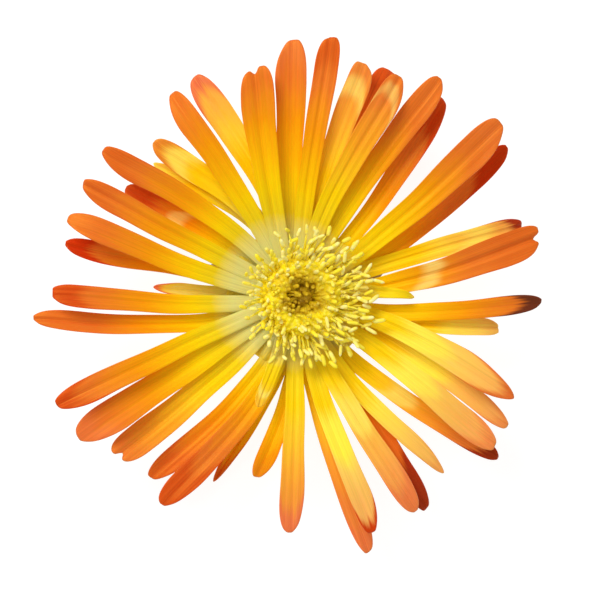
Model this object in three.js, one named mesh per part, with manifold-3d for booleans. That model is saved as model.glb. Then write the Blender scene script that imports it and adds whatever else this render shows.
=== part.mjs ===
// Ice plant bloom, as picked, resting face up: a fleshy green calyx with a flat foot and pointed
// sepals, a collar that opens into narrow strap-shaped petals, a tuft of stamens and a small pistil.
// Millimetres, +Z up through the bloom's axis, origin at the middle of the calyx's flat foot.

import * as THREE from "three";
import { mergeVertices } from "three/addons/utils/BufferGeometryUtils.js";
import Module from "manifold-3d";

const wasm = await Module();
wasm.setup();

// Clearance between two pieces that touch on the real bloom
const GAP = 0.3;

// Calyx: a top-shaped cup under the petals, with a flat foot where the stalk was snapped off
const FOOT_RADIUS = 2.6;
const CALYX_RADIUS = 4.6;
const CALYX_HEIGHT = 5.2;
const CALYX_SIDES = 32;

// Sepals: heading in degrees, reach from the axis, height of the tip above the foot
const SEPALS = [
  { heading: 15, reach: 9.2, tipHeight: 3.4 },
  { heading: 87, reach: 7.7, tipHeight: 4.1 },
  { heading: 159, reach: 8.9, tipHeight: 3.2 },
  { heading: 231, reach: 7.3, tipHeight: 3.9 },
  { heading: 303, reach: 7.2, tipHeight: 4.2 },
];
const SEPAL_ROOT_RADIUS = 2.8;
const SEPAL_ROOT_HEIGHT = 3.5;
const SEPAL_WIDTH = 3.7;
const SEPAL_KEEL = 1.7;
const SEPAL_CHEEK = 0.62;
const SEPAL_CREST = 0.28;

// Collar: the ring where the petals are joined, opening like a shallow dish
const RING_BASE = CALYX_HEIGHT + GAP;
const COLLAR_BORE = 3.5;
const COLLAR_ROOT = 4.7;
const COLLAR_THROAT = 4.3;
const COLLAR_RIM = 7.2;
const COLLAR_RIM_BASE = 6.7;
const COLLAR_THICKNESS = 0.7;
const COLLAR_TOP = 8.0;
const COLLAR_SIDES = 48;

// Petals: heading of the root and of the tip in degrees, reach from the axis, greatest width,
// level from 0 for the lowest to 2 for the highest, and the form of the end
const PETALS = [
  { root: 346.0, tip: 358.8, reach: 24.4, width: 2.0, level: 1.2, end: "round" },
  { root: 4.5, tip: 13.9, reach: 24.5, width: 3.35, level: 2.0, end: "notched" },
  { root: 22.5, tip: 17.6, reach: 23.9, width: 2.2, level: 0.5, end: "round" },
  { root: 22.0, tip: 35.5, reach: 25.9, width: 2.4, level: 0.3, end: "round" },
  { root: 35.5, tip: 40.7, reach: 26.5, width: 3.4, level: 1.7, end: "round" },
  { root: 47.0, tip: 53.3, reach: 24.8, width: 2.5, level: 0.5, end: "round" },
  { root: 65.0, tip: 57.4, reach: 26.0, width: 2.8, level: 1.2, end: "round" },
  { root: 78.0, tip: 66.0, reach: 24.1, width: 2.8, level: 1.9, end: "round" },
  { root: 74.0, tip: 67.2, reach: 24.8, width: 3.3, level: 0.2, end: "blunt" },
  { root: 82.5, tip: 74.4, reach: 24.2, width: 2.6, level: 0.9, end: "blunt" },
  { root: 88.5, tip: 83.6, reach: 26.1, width: 2.4, level: 1.5, end: "blunt" },
  { root: 98.0, tip: 92.0, reach: 25.7, width: 3.15, level: 1.1, end: "round" },
  { root: 111.0, tip: 102.2, reach: 23.3, width: 3.4, level: 1.9, end: "notched" },
  { root: 98.5, tip: 115.7, reach: 24.5, width: 2.9, level: 0.4, end: "round" },
  { root: 119.5, tip: 122.9, reach: 24.1, width: 2.5, level: 1.7, end: "round" },
  { root: 110.0, tip: 133.5, reach: 21.2, width: 2.5, level: 0.9, end: "round" },
  { root: 109.0, tip: 137.6, reach: 19.8, width: 1.9, level: 0.2, end: "pointed" },
  { root: 132.0, tip: 143.9, reach: 24.6, width: 2.5, level: 1.6, end: "round" },
  { root: 144.0, tip: 148.4, reach: 20.5, width: 2.6, level: 0.4, end: "round" },
  { root: 154.0, tip: 153.2, reach: 24.6, width: 2.5, level: 1.8, end: "round" },
  { root: 169.0, tip: 161.5, reach: 24.6, width: 2.5, level: 1.7, end: "round" },
  { root: 164.0, tip: 167.8, reach: 24.0, width: 2.2, level: 0.5, end: "round" },
  { root: 178.0, tip: 176.4, reach: 14.6, width: 1.4, level: 0.0, end: "pointed" },
  { root: 187.0, tip: 179.6, reach: 24.8, width: 2.3, level: 1.4, end: "blunt" },
  { root: 200.0, tip: 184.7, reach: 26.7, width: 2.1, level: 0.8, end: "round" },
  { root: 200.5, tip: 203.7, reach: 26.7, width: 2.6, level: 2.0, end: "round" },
  { root: 211.5, tip: 212.2, reach: 26.3, width: 3.4, level: 1.5, end: "round" },
  { root: 226.0, tip: 221.0, reach: 24.3, width: 3.2, level: 1.0, end: "notched" },
  { root: 247.5, tip: 231.0, reach: 23.4, width: 2.4, level: 0.4, end: "round" },
  { root: 255.0, tip: 236.2, reach: 24.9, width: 2.65, level: 1.7, end: "round" },
  { root: 258.5, tip: 244.8, reach: 20.4, width: 1.4, level: 0.7, end: "pointed" },
  { root: 271.0, tip: 256.8, reach: 18.6, width: 2.0, level: 0.9, end: "round" },
  { root: 266.0, tip: 267.1, reach: 23.4, width: 2.45, level: 1.8, end: "round" },
  { root: 277.0, tip: 285.5, reach: 26.6, width: 2.2, level: 0.3, end: "round" },
  { root: 279.0, tip: 287.2, reach: 24.6, width: 2.3, level: 1.6, end: "round" },
  { root: 289.0, tip: 298.3, reach: 24.2, width: 2.4, level: 1.7, end: "round" },
  { root: 301.0, tip: 301.3, reach: 25.0, width: 2.2, level: 0.4, end: "round" },
  { root: 296.0, tip: 309.6, reach: 23.0, width: 1.8, level: 1.0, end: "pointed" },
  { root: 307.0, tip: 321.4, reach: 25.8, width: 2.1, level: 0.4, end: "round" },
  { root: 327.0, tip: 322.4, reach: 24.5, width: 2.7, level: 1.7, end: "round" },
  { root: 339.0, tip: 328.4, reach: 24.6, width: 2.0, level: 1.0, end: "round" },
  { root: 347.5, tip: 334.9, reach: 23.5, width: 3.1, level: 1.9, end: "pointed" },
  { root: 341.0, tip: 351.4, reach: 20.6, width: 1.8, level: 0.5, end: "blunt" },
  { root: 10.0, tip: 0.3, reach: 11.6, width: 1.0, level: 1.6, end: "pointed" },
  { root: 249.0, tip: 247.0, reach: 11.8, width: 1.3, level: 1.9, end: "round" },
];
const PETAL_ROOT_RADIUS = 3.9;
const PETAL_ROOT_WIDTH = 1.55;
const PETAL_THICKNESS = 0.6;
const PETAL_CHANNEL = 0.08;
const PETAL_SWEEP = 1.4;
const PETAL_ROLL = 16;
const LOWEST_LEVEL = { root: 6.1, crown: 7.8, tip: 6.6 };
const LEVEL_STEP = { root: 0.7, crown: 2.3, tip: 2.6 };
const TIP_SCATTER = 1.2;

// Where along the petal each row of points lies, and how wide the petal is there
const PETAL_ENDS = {
  round: { along: [0.84, 0.93, 0.98, 1], width: [1, 0.86, 0.58, 0.26], notch: 0 },
  blunt: { along: [0.86, 0.94, 0.985, 1], width: [1, 0.95, 0.82, 0.55], notch: 0 },
  pointed: { along: [0.76, 0.87, 0.96, 1], width: [1, 0.76, 0.38, 0.16], notch: 0 },
  notched: { along: [0.84, 0.92, 0.97, 1], width: [1, 0.94, 0.82, 0.56], notch: 0.8 },
};
const PETAL_STEM_ROWS = 5;
const PETAL_FULL_WIDTH_AT = 0.8;

// Stamens: a tuft of filaments with anthers on a ring-shaped pad round the pistil
const STAMENS = 100;
const STAMEN_PAD_INNER = 1.5;
const STAMEN_PAD_OUTER = COLLAR_BORE - GAP;
const STAMEN_PAD_TOP = 8.0;
const STAMEN_PAD_SIDES = 32;
const FILAMENT_RADIUS = 0.2;
const FILAMENT_SUNK = 0.4;
const ANTHER_RADIUS = 0.36;
const ANTHER_LENGTH = 1.1;
const INNER_SPREAD = -0.2;
const OUTER_SPREAD = 4.2;
const INNER_RISE = 4.7;
const OUTER_RISE = 3.3;
const TUFT_LEAN = 0.9;

// Pistil: a low nectar dome with five stigmas
const PISTIL_RADIUS = STAMEN_PAD_INNER - GAP;
const PISTIL_DOME = 1.6;
const STIGMAS = 5;
const STIGMA_TOP = 11.0;
const STIGMA_SPREAD = 0.75;

const GOLDEN_ANGLE = 137.508;
const UP = new THREE.Vector3(0, 0, 1);

// Evenly scattered values from 0 to 1, the same on every run
function scatter(index, stream) {
  const value = (index + 1) * (0.618034 + 0.1732051 * stream) + 0.37 * stream;
  return value - Math.floor(value);
}

function mix(from, to, share) {
  return from + (to - from) * share;
}

// A point at a heading and a radius from the axis, at a height
function place(heading, radius, height) {
  const angle = THREE.MathUtils.degToRad(heading);
  return new THREE.Vector3(radius * Math.cos(angle), radius * Math.sin(angle), height);
}

function geometryOf(points, faces) {
  const geometry = new THREE.BufferGeometry();
  const values = points.flatMap((point) => point.toArray());
  geometry.setAttribute("position", new THREE.Float32BufferAttribute(values, 3));
  geometry.setIndex(faces);
  return geometry;
}

// A closed body through rings of points, each ring anticlockwise seen from the last one
function loft(rings) {
  const count = rings[0].length;
  const faces = [];
  for (let ring = 0; ring + 1 < rings.length; ring += 1) {
    for (let i = 0; i < count; i += 1) {
      const a = ring * count + i;
      const b = ring * count + ((i + 1) % count);
      faces.push(a, b, b + count, a, b + count, a + count);
    }
  }
  const last = (rings.length - 1) * count;
  for (let i = 1; i + 1 < count; i += 1) {
    faces.push(0, i + 1, i);
    faces.push(last, last + i, last + i + 1);
  }
  return geometryOf(rings.flat(), faces);
}

// A thin body between an upper and a lower grid of points, both split into triangles alike
function sheet(upper, lower) {
  const rows = upper.length;
  const columns = upper[0].length;
  const below = rows * columns;
  const faces = [];
  for (let row = 0; row + 1 < rows; row += 1) {
    for (let column = 0; column + 1 < columns; column += 1) {
      const a = row * columns + column;
      const b = a + 1;
      const c = b + columns;
      const d = a + columns;
      faces.push(a, b, c, a, c, d);
      faces.push(below + a, below + c, below + b, below + a, below + d, below + c);
    }
  }
  const rim = [];
  for (let column = 0; column < columns - 1; column += 1) {
    rim.push(column);
  }
  for (let row = 0; row < rows - 1; row += 1) {
    rim.push(row * columns + columns - 1);
  }
  for (let column = columns - 1; column > 0; column -= 1) {
    rim.push((rows - 1) * columns + column);
  }
  for (let row = rows - 1; row > 0; row -= 1) {
    rim.push(row * columns);
  }
  rim.forEach((a, i) => {
    const b = rim[(i + 1) % rim.length];
    faces.push(b, a, below + a, b, below + a, below + b);
  });
  return geometryOf([...upper.flat(), ...lower.flat()], faces);
}

// The same body as a solid that can be joined, its shared vertices merged
function solidOf(geometry) {
  const bare = geometry.clone();
  bare.deleteAttribute("normal");
  bare.deleteAttribute("uv");
  const merged = mergeVertices(bare, 1e-4);
  const mesh = new wasm.Mesh({
    numProp: 3,
    vertProperties: new Float32Array(merged.attributes.position.array),
    triVerts: new Uint32Array(merged.index.array),
  });
  return new wasm.Manifold(mesh);
}

// Several bodies that overlap, joined two by two into one
function joined(geometries) {
  let solids = geometries.map(solidOf);
  while (solids.length > 1) {
    const pairs = [];
    for (let i = 0; i < solids.length; i += 2) {
      pairs.push(i + 1 < solids.length ? solids[i].add(solids[i + 1]) : solids[i]);
    }
    solids = pairs;
  }
  const mesh = solids[0].getMesh();
  const geometry = new THREE.BufferGeometry();
  geometry.setAttribute("position", new THREE.BufferAttribute(mesh.vertProperties, 3));
  geometry.setIndex(new THREE.BufferAttribute(mesh.triVerts, 1));
  return geometry;
}

// A turned body about the axis, from a profile of radius and height
function turned(profile, sides) {
  const points = profile.map(([radius, height]) => new THREE.Vector2(radius, height));
  const geometry = new THREE.LatheGeometry(points, sides);
  geometry.rotateX(Math.PI / 2);
  return geometry;
}

function calyxGeometry() {
  const cup = turned([
    [0, 0],
    [FOOT_RADIUS, 0],
    [FOOT_RADIUS + 0.45, 0.35],
    [CALYX_RADIUS - 0.9, 1.6],
    [CALYX_RADIUS - 0.2, 3.2],
    [CALYX_RADIUS, 4.4],
    [CALYX_RADIUS - 0.35, CALYX_HEIGHT],
    [0, CALYX_HEIGHT],
  ], CALYX_SIDES);
  return joined([cup, ...SEPALS.map(sepal)]);
}

// A fleshy pointed lobe, flat above and keeled below, that spreads and droops
function sepal({ heading, reach, tipHeight }) {
  const root = place(heading, SEPAL_ROOT_RADIUS, SEPAL_ROOT_HEIGHT);
  const bend = place(heading, mix(SEPAL_ROOT_RADIUS, reach, 0.6), SEPAL_ROOT_HEIGHT + 1.1);
  const tip = place(heading, reach, tipHeight);
  const line = new THREE.QuadraticBezierCurve3(root, bend, tip);
  const across = new THREE.Vector3().crossVectors(UP, place(heading, 1, 0));
  const shares = [0, 0.25, 0.5, 0.7, 0.86, 0.96, 1];
  return loft(shares.map((share) => {
    const middle = line.getPoint(share);
    const fullness = (1 - share ** 1.8) ** 0.85 * 0.95 + 0.05;
    const half = (SEPAL_WIDTH / 2) * fullness;
    const keel = SEPAL_KEEL * fullness;
    const at = (side, lift) => middle.clone().addScaledVector(across, side).addScaledVector(UP, lift);
    const right = at(-half, 0);
    const rightCheek = at(-half * SEPAL_CHEEK, -keel * SEPAL_CHEEK);
    const bottom = at(0, -keel);
    const leftCheek = at(half * SEPAL_CHEEK, -keel * SEPAL_CHEEK);
    const left = at(half, 0);
    const crest = at(0, SEPAL_CREST * fullness);
    return [right, rightCheek, bottom, leftCheek, left, crest];
  }));
}

// The middle line of a petal: it turns in plan most near the root, rises, and levels out
function petalLine({ root, tip, reach, level }, index, share) {
  const heading = mix(tip, root, Math.max(0, 1 - share) ** PETAL_SWEEP);
  const radius = mix(PETAL_ROOT_RADIUS, reach, share);
  const rootHeight = LOWEST_LEVEL.root + LEVEL_STEP.root * level;
  const crownHeight = LOWEST_LEVEL.crown + LEVEL_STEP.crown * level;
  const tipHeight = LOWEST_LEVEL.tip + LEVEL_STEP.tip * level + TIP_SCATTER * (scatter(index, 1) - 0.5);
  const rising = mix(rootHeight, crownHeight, share);
  const levelling = mix(crownHeight, tipHeight, share);
  return place(heading, radius, mix(rising, levelling, share));
}

// The rows of a petal's outline: it widens from the root, then closes in the form of its end
function petalRows(end, width) {
  const rows = [];
  for (let row = 0; row < PETAL_STEM_ROWS; row += 1) {
    const along = (end.along[0] * row) / PETAL_STEM_ROWS;
    const growth = Math.min(1, along / PETAL_FULL_WIDTH_AT);
    rows.push({ along, half: mix(PETAL_ROOT_WIDTH, width, growth) / 2 });
  }
  end.along.forEach((along, i) => rows.push({ along, half: (width / 2) * end.width[i] }));
  return rows;
}

// A strap-shaped blade with a shallow channel, rolled a little to one side towards its tip
function petal(data, index) {
  const end = PETAL_ENDS[data.end];
  const roll = THREE.MathUtils.degToRad(PETAL_ROLL * (2 * scatter(index, 2) - 1));
  const rows = petalRows(end, data.width);
  const upper = [];
  const lower = [];
  rows.forEach(({ along, half }, row) => {
    const middle = petalLine(data, index, along);
    const ahead = petalLine(data, index, along + 0.01);
    const forward = ahead.sub(petalLine(data, index, along - 0.01)).normalize();
    const level = new THREE.Vector3().crossVectors(UP, forward).normalize();
    const across = level.applyAxisAngle(forward, roll * along);
    const normal = new THREE.Vector3().crossVectors(forward, across);
    const setBack = row === rows.length - 1 ? end.notch : 0;
    const points = [1, 0, -1].map((side) => middle.clone()
      .addScaledVector(across, side * half)
      .addScaledVector(normal, PETAL_CHANNEL * data.width * side * side)
      .addScaledVector(forward, side === 0 ? -setBack : 0));
    upper.push(points.map((point) => point.clone().addScaledVector(normal, PETAL_THICKNESS / 2)));
    lower.push(points.map((point) => point.clone().addScaledVector(normal, -PETAL_THICKNESS / 2)));
  });
  return sheet(upper, lower);
}

function petalsGeometry() {
  const collar = turned([
    [COLLAR_BORE, RING_BASE],
    [COLLAR_ROOT, RING_BASE],
    [COLLAR_RIM, COLLAR_RIM_BASE],
    [COLLAR_RIM, COLLAR_RIM_BASE + COLLAR_THICKNESS],
    [COLLAR_ROOT, RING_BASE + 2 * COLLAR_THICKNESS],
    [COLLAR_THROAT, COLLAR_TOP],
    [COLLAR_BORE, COLLAR_TOP],
    [COLLAR_BORE, RING_BASE],
  ], COLLAR_SIDES);
  return joined([collar, ...PETALS.map(petal)]);
}

// A filament that starts upright and bends outwards, swelling into an anther at its end
function stamen(index) {
  const outwards = (index + 0.5) / STAMENS;
  const heading = index * GOLDEN_ANGLE;
  const innermost = STAMEN_PAD_INNER + FILAMENT_RADIUS;
  const outermost = STAMEN_PAD_OUTER - FILAMENT_RADIUS;
  const rootRadius = mix(innermost, outermost, Math.sqrt(outwards));
  const spread = mix(INNER_SPREAD, OUTER_SPREAD, outwards) + 0.7 * (scatter(index, 3) - 0.5);
  const rise = mix(INNER_RISE, OUTER_RISE, outwards) + 0.9 * (scatter(index, 4) - 0.5);
  const sideways = 22 * (scatter(index, 5) - 0.5);
  const lean = new THREE.Vector3(TUFT_LEAN, 0, 0);
  const root = place(heading, rootRadius, STAMEN_PAD_TOP - FILAMENT_SUNK);
  const bend = place(heading, rootRadius + 0.15 * spread, STAMEN_PAD_TOP + 0.86 * rise);
  const tip = place(heading + sideways, rootRadius + spread, STAMEN_PAD_TOP + rise).add(lean);
  const line = new THREE.QuadraticBezierCurve3(root, bend, tip);
  const endOfFilament = 1 - ANTHER_LENGTH / line.getLength();
  const stations = [
    { share: 0, radius: FILAMENT_RADIUS },
    { share: endOfFilament * 0.55, radius: FILAMENT_RADIUS },
    { share: endOfFilament, radius: FILAMENT_RADIUS * 0.85 },
    { share: mix(endOfFilament, 1, 0.25), radius: ANTHER_RADIUS },
    { share: mix(endOfFilament, 1, 0.8), radius: ANTHER_RADIUS * 0.94 },
    { share: 1, radius: ANTHER_RADIUS * 0.35 },
  ];
  return loft(stations.map(({ share, radius }) => ringAround(line, share, radius, 3)));
}

// A ring of points square to a curve, anticlockwise seen against the curve's direction
function ringAround(curve, share, radius, sides) {
  const centre = curve.getPoint(share);
  const forward = curve.getTangent(share);
  const across = new THREE.Vector3(-forward.y, forward.x, 0.001).cross(forward).normalize();
  const ring = [];
  for (let side = 0; side < sides; side += 1) {
    ring.push(centre.clone().addScaledVector(across, radius));
    across.applyAxisAngle(forward, (2 * Math.PI) / sides);
  }
  return ring;
}

function stamensGeometry() {
  const pad = turned([
    [STAMEN_PAD_INNER, RING_BASE],
    [STAMEN_PAD_OUTER, RING_BASE],
    [STAMEN_PAD_OUTER, STAMEN_PAD_TOP],
    [STAMEN_PAD_INNER, STAMEN_PAD_TOP],
    [STAMEN_PAD_INNER, RING_BASE],
  ], STAMEN_PAD_SIDES);
  const tuft = Array.from({ length: STAMENS }, (_, index) => stamen(index));
  return joined([pad, ...tuft]);
}

function pistilGeometry() {
  const dome = turned([
    [0, RING_BASE],
    [PISTIL_RADIUS, RING_BASE],
    [PISTIL_RADIUS, RING_BASE + PISTIL_DOME * 0.6],
    [PISTIL_RADIUS * 0.72, RING_BASE + PISTIL_DOME * 0.92],
    [PISTIL_RADIUS * 0.3, RING_BASE + PISTIL_DOME],
    [0, RING_BASE + PISTIL_DOME],
  ], 20);
  const stigmas = [];
  for (let index = 0; index < STIGMAS; index += 1) {
    const heading = 30 + (360 / STIGMAS) * index;
    const line = new THREE.QuadraticBezierCurve3(
      place(heading, 0.45, RING_BASE + PISTIL_DOME * 0.5),
      place(heading, 0.45, STIGMA_TOP - 0.8),
      place(heading, STIGMA_SPREAD, STIGMA_TOP),
    );
    const taper = [[0, 0.32], [0.4, 0.3], [0.75, 0.2], [1, 0.09]];
    stigmas.push(loft(taper.map(([share, radius]) => ringAround(line, share, radius, 4))));
  }
  return joined([dome, ...stigmas]);
}

function piece(name, geometry, colour, roughness) {
  const material = new THREE.MeshStandardMaterial({ color: colour, roughness, metalness: 0 });
  const mesh = new THREE.Mesh(geometry, material);
  mesh.name = name;
  return mesh;
}

const bloom = new THREE.Group();
bloom.add(piece("calyx", calyxGeometry(), 0x7f9c4a, 0.5));
bloom.add(piece("petals", petalsGeometry(), 0xf08a14, 0.42));
bloom.add(piece("stamens", stamensGeometry(), 0xf2d326, 0.6));
bloom.add(piece("pistil", pistilGeometry(), 0x7a6420, 0.6));

export default bloom;
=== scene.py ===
import math
from collections import namedtuple
from functools import partialmethod, wraps

import bmesh
import bpy
from bpy.props import FloatProperty, FloatVectorProperty, IntProperty, PointerProperty
from bpy.types import Operator, Panel, PropertyGroup
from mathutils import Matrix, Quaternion, Vector, noise


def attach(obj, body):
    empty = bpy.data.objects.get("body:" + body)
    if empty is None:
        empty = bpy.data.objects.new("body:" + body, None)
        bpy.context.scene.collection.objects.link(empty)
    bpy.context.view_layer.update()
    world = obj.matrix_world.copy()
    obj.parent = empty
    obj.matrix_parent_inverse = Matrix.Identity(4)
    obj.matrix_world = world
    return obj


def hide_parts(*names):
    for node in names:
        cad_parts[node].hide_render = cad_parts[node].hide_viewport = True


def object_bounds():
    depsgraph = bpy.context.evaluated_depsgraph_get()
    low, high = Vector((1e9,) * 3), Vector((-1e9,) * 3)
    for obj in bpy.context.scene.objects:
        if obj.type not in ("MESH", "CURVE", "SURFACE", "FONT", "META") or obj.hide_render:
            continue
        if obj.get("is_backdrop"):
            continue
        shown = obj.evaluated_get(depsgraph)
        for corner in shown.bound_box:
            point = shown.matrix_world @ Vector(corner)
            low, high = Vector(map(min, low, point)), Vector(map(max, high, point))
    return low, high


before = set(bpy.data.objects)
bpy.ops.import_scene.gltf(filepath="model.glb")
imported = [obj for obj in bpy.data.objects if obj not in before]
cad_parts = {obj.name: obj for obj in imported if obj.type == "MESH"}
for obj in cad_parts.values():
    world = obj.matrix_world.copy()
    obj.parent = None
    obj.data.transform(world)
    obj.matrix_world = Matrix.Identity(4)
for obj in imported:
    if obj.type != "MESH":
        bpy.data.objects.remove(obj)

bl_info = {
    "name": "Ice plant bloom",
    "version": (1, 0, 0),
    "blender": (4, 5, 0),
    "location": "3D View > Sidebar > Bloom",
    "description": "Dresses the packed ice plant bloom with fine petals, stamens, pistil and calyx",
    "category": "Object",
}

CAD_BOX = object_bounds()
MM = 0.001
UP = Vector((0, 0, 1))
GOLDEN_ANGLE = 137.508
# Corners of one surface that are nearer than this, in metres, are one corner
TOUCHING = 0.002 * MM

# Calyx: a top-shaped cup with a flat foot, and five sepals. Lengths in millimetres. The skin is
# uneven from the first height of CUP_FREE on, fully so above the second, and the foot is flat
# below the second of FOOT_FLAT. Each swell has a size and a share.
CUP_PROFILE = [
    (0, 0), (2.6, 0), (3.05, 0.35), (3.7, 1.6), (4.4, 3.2), (4.6, 4.4), (4.35, 5.4), (0, 5.4),
]
CUP_STEPS = 72
Sepal = namedtuple("Sepal", "heading reach tip_height")
SEPALS = [
    Sepal(15, 9.2, 3.4),
    Sepal(87, 7.7, 4.1),
    Sepal(159, 8.9, 3.2),
    Sepal(231, 7.3, 3.9),
    Sepal(303, 7.2, 4.2),
]
SEPAL_ROOT_RADIUS = 2.8
SEPAL_ROOT_HEIGHT = 3.5
SEPAL_BEND_HEIGHT = 4.6
SEPAL_WIDTH = 3.7
SEPAL_KEEL = 1.7
SEPAL_CREST = 0.28
SEPAL_FACES = (20, 26)
SEPAL_BEND = 0.6
SEPAL_TAPER = (1.8, 0.85)
SEPAL_OPENED = 0.04
CUP_RIDGE = 0.03
CUP_FREE = (0.3, 1.2)
FOOT_FLAT = (0.18, 0.08)
SWELLS = ((1.1, 1.0), (0.45, 0.6))
CUP_YOUNG = (3.6, 5.4)
SEPAL_FLUSHED = (5.6, 8.2)
SCAR_RADIUS = 1.45
SCAR_FADING = 1.35
SCAR_RAGGED = 0.5
SCAR_HEIGHT = (0.05, 0.3)

# Collar: the shallow dish where the petals are joined. Lengths in millimetres. Its ridges stray
# from an even spacing, by radians of their own wave.
COLLAR_PROFILE = [
    (3.5, 5.45), (4.7, 5.45), (7.2, 6.7), (7.2, 7.4), (4.7, 6.9), (4.3, 8.0), (3.5, 8.0),
]
COLLAR_STEPS = 180
COLLAR_RIDGES = 45
COLLAR_RIDGE = 0.12
COLLAR_RIDGED = (4.4, 5.6)
COLLAR_STRAY = 5
COLLAR_STRAY_GRAIN = 3
COLLAR_YELLOWING = (4.2, 7.4)

# Petals: heading of root and tip in degrees, reach from the axis and width in millimetres,
# level from 0 for the lowest to 2 for the highest, the form of the end, and the colouring:
# flush, how many millimetres nearer the middle the reds start; pale, from 0 to 1, partly the
# petal's own paler colour and partly painted sheen; blush, the tip's tone from -1 for salmon
# over 0 for none to 1.6 for maroon; and on some the patch, the share of the length at which a
# painted highlight lies
Petal = namedtuple("Petal", "root tip reach width level end flush pale blush patch", defaults=[0])
PETALS = [Petal(*row) for row in (
    (346, 358.8, 24.4, 2, 1.2, "round", 0.6, 0, 1.6),
    (4.5, 13.9, 24.5, 3.35, 2, "notched", 5, 0, 0.4, 0.46),
    (22.5, 17.6, 23.9, 2.2, 0.5, "round", -2, 0.6, 1.25, 0.77),
    (22, 35.5, 25.9, 2.4, 0.3, "round", 5, 0, 1),
    (35.5, 40.7, 26.5, 3.4, 1.7, "round", 0.6, 0, -0.3),
    (47, 53.3, 24.8, 2.5, 0.5, "round", 4, 0, 0.85),
    (65, 57.4, 26, 2.8, 1.2, "round", 1.6, 0, -0.2),
    (78, 66, 24.1, 2.8, 1.9, "round", 0.8, 0.1, 0.3, 0.92),
    (74, 67.2, 24.8, 3.3, 0.2, "blunt", 2.5, 0, 0.7),
    (82.5, 74.4, 24.2, 2.6, 0.9, "blunt", -1.5, 0.3, 0.2, 0.88),
    (88.5, 83.6, 26.1, 2.4, 1.5, "blunt", 1.2, 0, 0.6),
    (98, 92, 25.7, 3.15, 1.1, "round", 0, 0, -0.4),
    (111, 102.2, 23.3, 3.4, 1.9, "notched", -0.4, 0, 0.3),
    (98.5, 115.7, 24.5, 2.9, 0.4, "round", -4, 0.5, -0.8),
    (119.5, 122.9, 24.1, 2.5, 1.7, "round", 0, 0, 0.15),
    (110, 133.5, 21.2, 2.5, 0.9, "round", -5, 0.6, 0.5, 0.86),
    (109, 137.6, 19.8, 1.9, 0.2, "pointed", -5, 1, 0.1),
    (132, 143.9, 24.6, 2.5, 1.6, "round", 1.6, 0, 0.45),
    (144, 148.4, 20.5, 2.6, 0.4, "round", 4, 0, 0.7, 0.65),
    (154, 153.2, 24.6, 2.5, 1.8, "round", 1.6, 0, 0.4),
    (169, 161.5, 24.6, 2.5, 1.7, "round", 1.4, 0, 0.1),
    (164, 167.8, 24, 2.2, 0.5, "round", 1.6, 0, 1),
    (178, 176.4, 14.6, 1.4, 0, "pointed", -6, 1, -0.8),
    (187, 179.6, 24.8, 2.3, 1.4, "blunt", 1.6, 0, 0.8),
    (200, 184.7, 26.7, 2.1, 0.8, "round", 1.4, 0, 0.3),
    (200.5, 203.7, 26.7, 2.6, 2, "round", -0.4, 0, 0.75),
    (211.5, 212.2, 26.3, 3.4, 1.5, "round", -0.5, 0, -0.5),
    (226, 221, 24.3, 3.2, 1, "notched", -1.2, 0.1, -0.2),
    (247.5, 231, 23.4, 2.4, 0.4, "round", 2.6, 0, 0.45),
    (255, 236.2, 24.9, 2.65, 1.7, "round", 5, 0, 0.7),
    (258.5, 244.8, 20.4, 1.4, 0.7, "pointed", 0, 0, 0.6),
    (271, 256.8, 18.6, 2, 0.9, "round", 1, 0, 0),
    (266, 267.1, 23.4, 2.45, 1.8, "round", 0.2, 0.25, -0.7),
    (277, 285.5, 26.6, 2.2, 0.3, "round", 1, 0.3, -0.6),
    (279, 287.2, 24.6, 2.3, 1.6, "round", -0.5, 1, 0.9, 0.57),
    (289, 298.3, 24.2, 2.4, 1.7, "round", 2.4, 0.55, -0.6, 0.47),
    (301, 301.3, 25, 2.2, 0.4, "round", 6, 0, 1.3),
    (296, 309.6, 23, 1.8, 1, "pointed", -0.5, 0.9, -0.2),
    (307, 321.4, 25.8, 2.1, 0.4, "round", 0.5, 0.2, 1.3, 0.485),
    (327, 322.4, 24.5, 2.7, 1.7, "round", 0.3, 0.8, -0.5, 0.51),
    (339, 328.4, 24.6, 2, 1, "round", 0, 0.9, -0.45, 0.54),
    (347.5, 334.9, 23.5, 3.1, 1.9, "pointed", 0.3, 0.85, 0.6, 0.5),
    (341, 351.4, 20.6, 1.8, 0.5, "blunt", -2.5, 1, -0.15),
    (10, 0.3, 11.6, 1, 1.6, "pointed", -3, 0, 0),
    (249, 247, 11.8, 1.3, 1.9, "round", 5, 0.3, 0, 0.85),
)]
TIERS = {"petals_lower": (0.0, 0.75), "petals_middle": (0.75, 1.45), "petals_upper": (1.45, 2.1)}
PETAL_ROOT_RADIUS = 3.9
PETAL_ROOT_WIDTH = 1.55
PETAL_SWEEP = 1.4
PETAL_ROLL = 16
PETAL_FULL_WIDTH_AT = 0.8
LOWEST = {"root": 6.1, "crown": 7.8, "tip": 6.6}
STEP = {"root": 0.7, "crown": 2.3, "tip": 2.6}
TIP_SCATTER = 0.6
PETAL_FACES = (28, 48)
PETAL_STATIONS = 72
ROW_EASE = 1.3

# How uneven a petal is: waves and curl out of its plane, ripples along its edge and its end.
# A pair is the stretch, in shares of the petal, over which something sets in.
FORMED = (0.04, 0.3)
WAVING = (0.15, 0.5)
CURLING = (0.75, 1.05)
WAVES = 9.5
SWAYS = 7.0
SWAY = 0.3
EDGE_RIPPLES = 17
EDGE_RIPPLE = 0.035
OTHER_EDGE = -0.6
END_RIPPLES = 8
END_RIPPLE = 0.002
END_SLANT = 0.025
NOTCH_WIDTH = 0.2
CREASES = (0.4, 1.6)
CREASE_WIDTH = 0.16
CREASE_AT_NOTCH = 1.8
RIBS = 9.0

# How a petal's thickness runs out: thinner towards the tip, rounded at the root, tip and edges
THINNING = (1.15, 0.85)
ROUNDED_ROOT = 0.03
ROUNDED_TIP = 0.05
RIM_FULLNESS = 0.35

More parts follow.
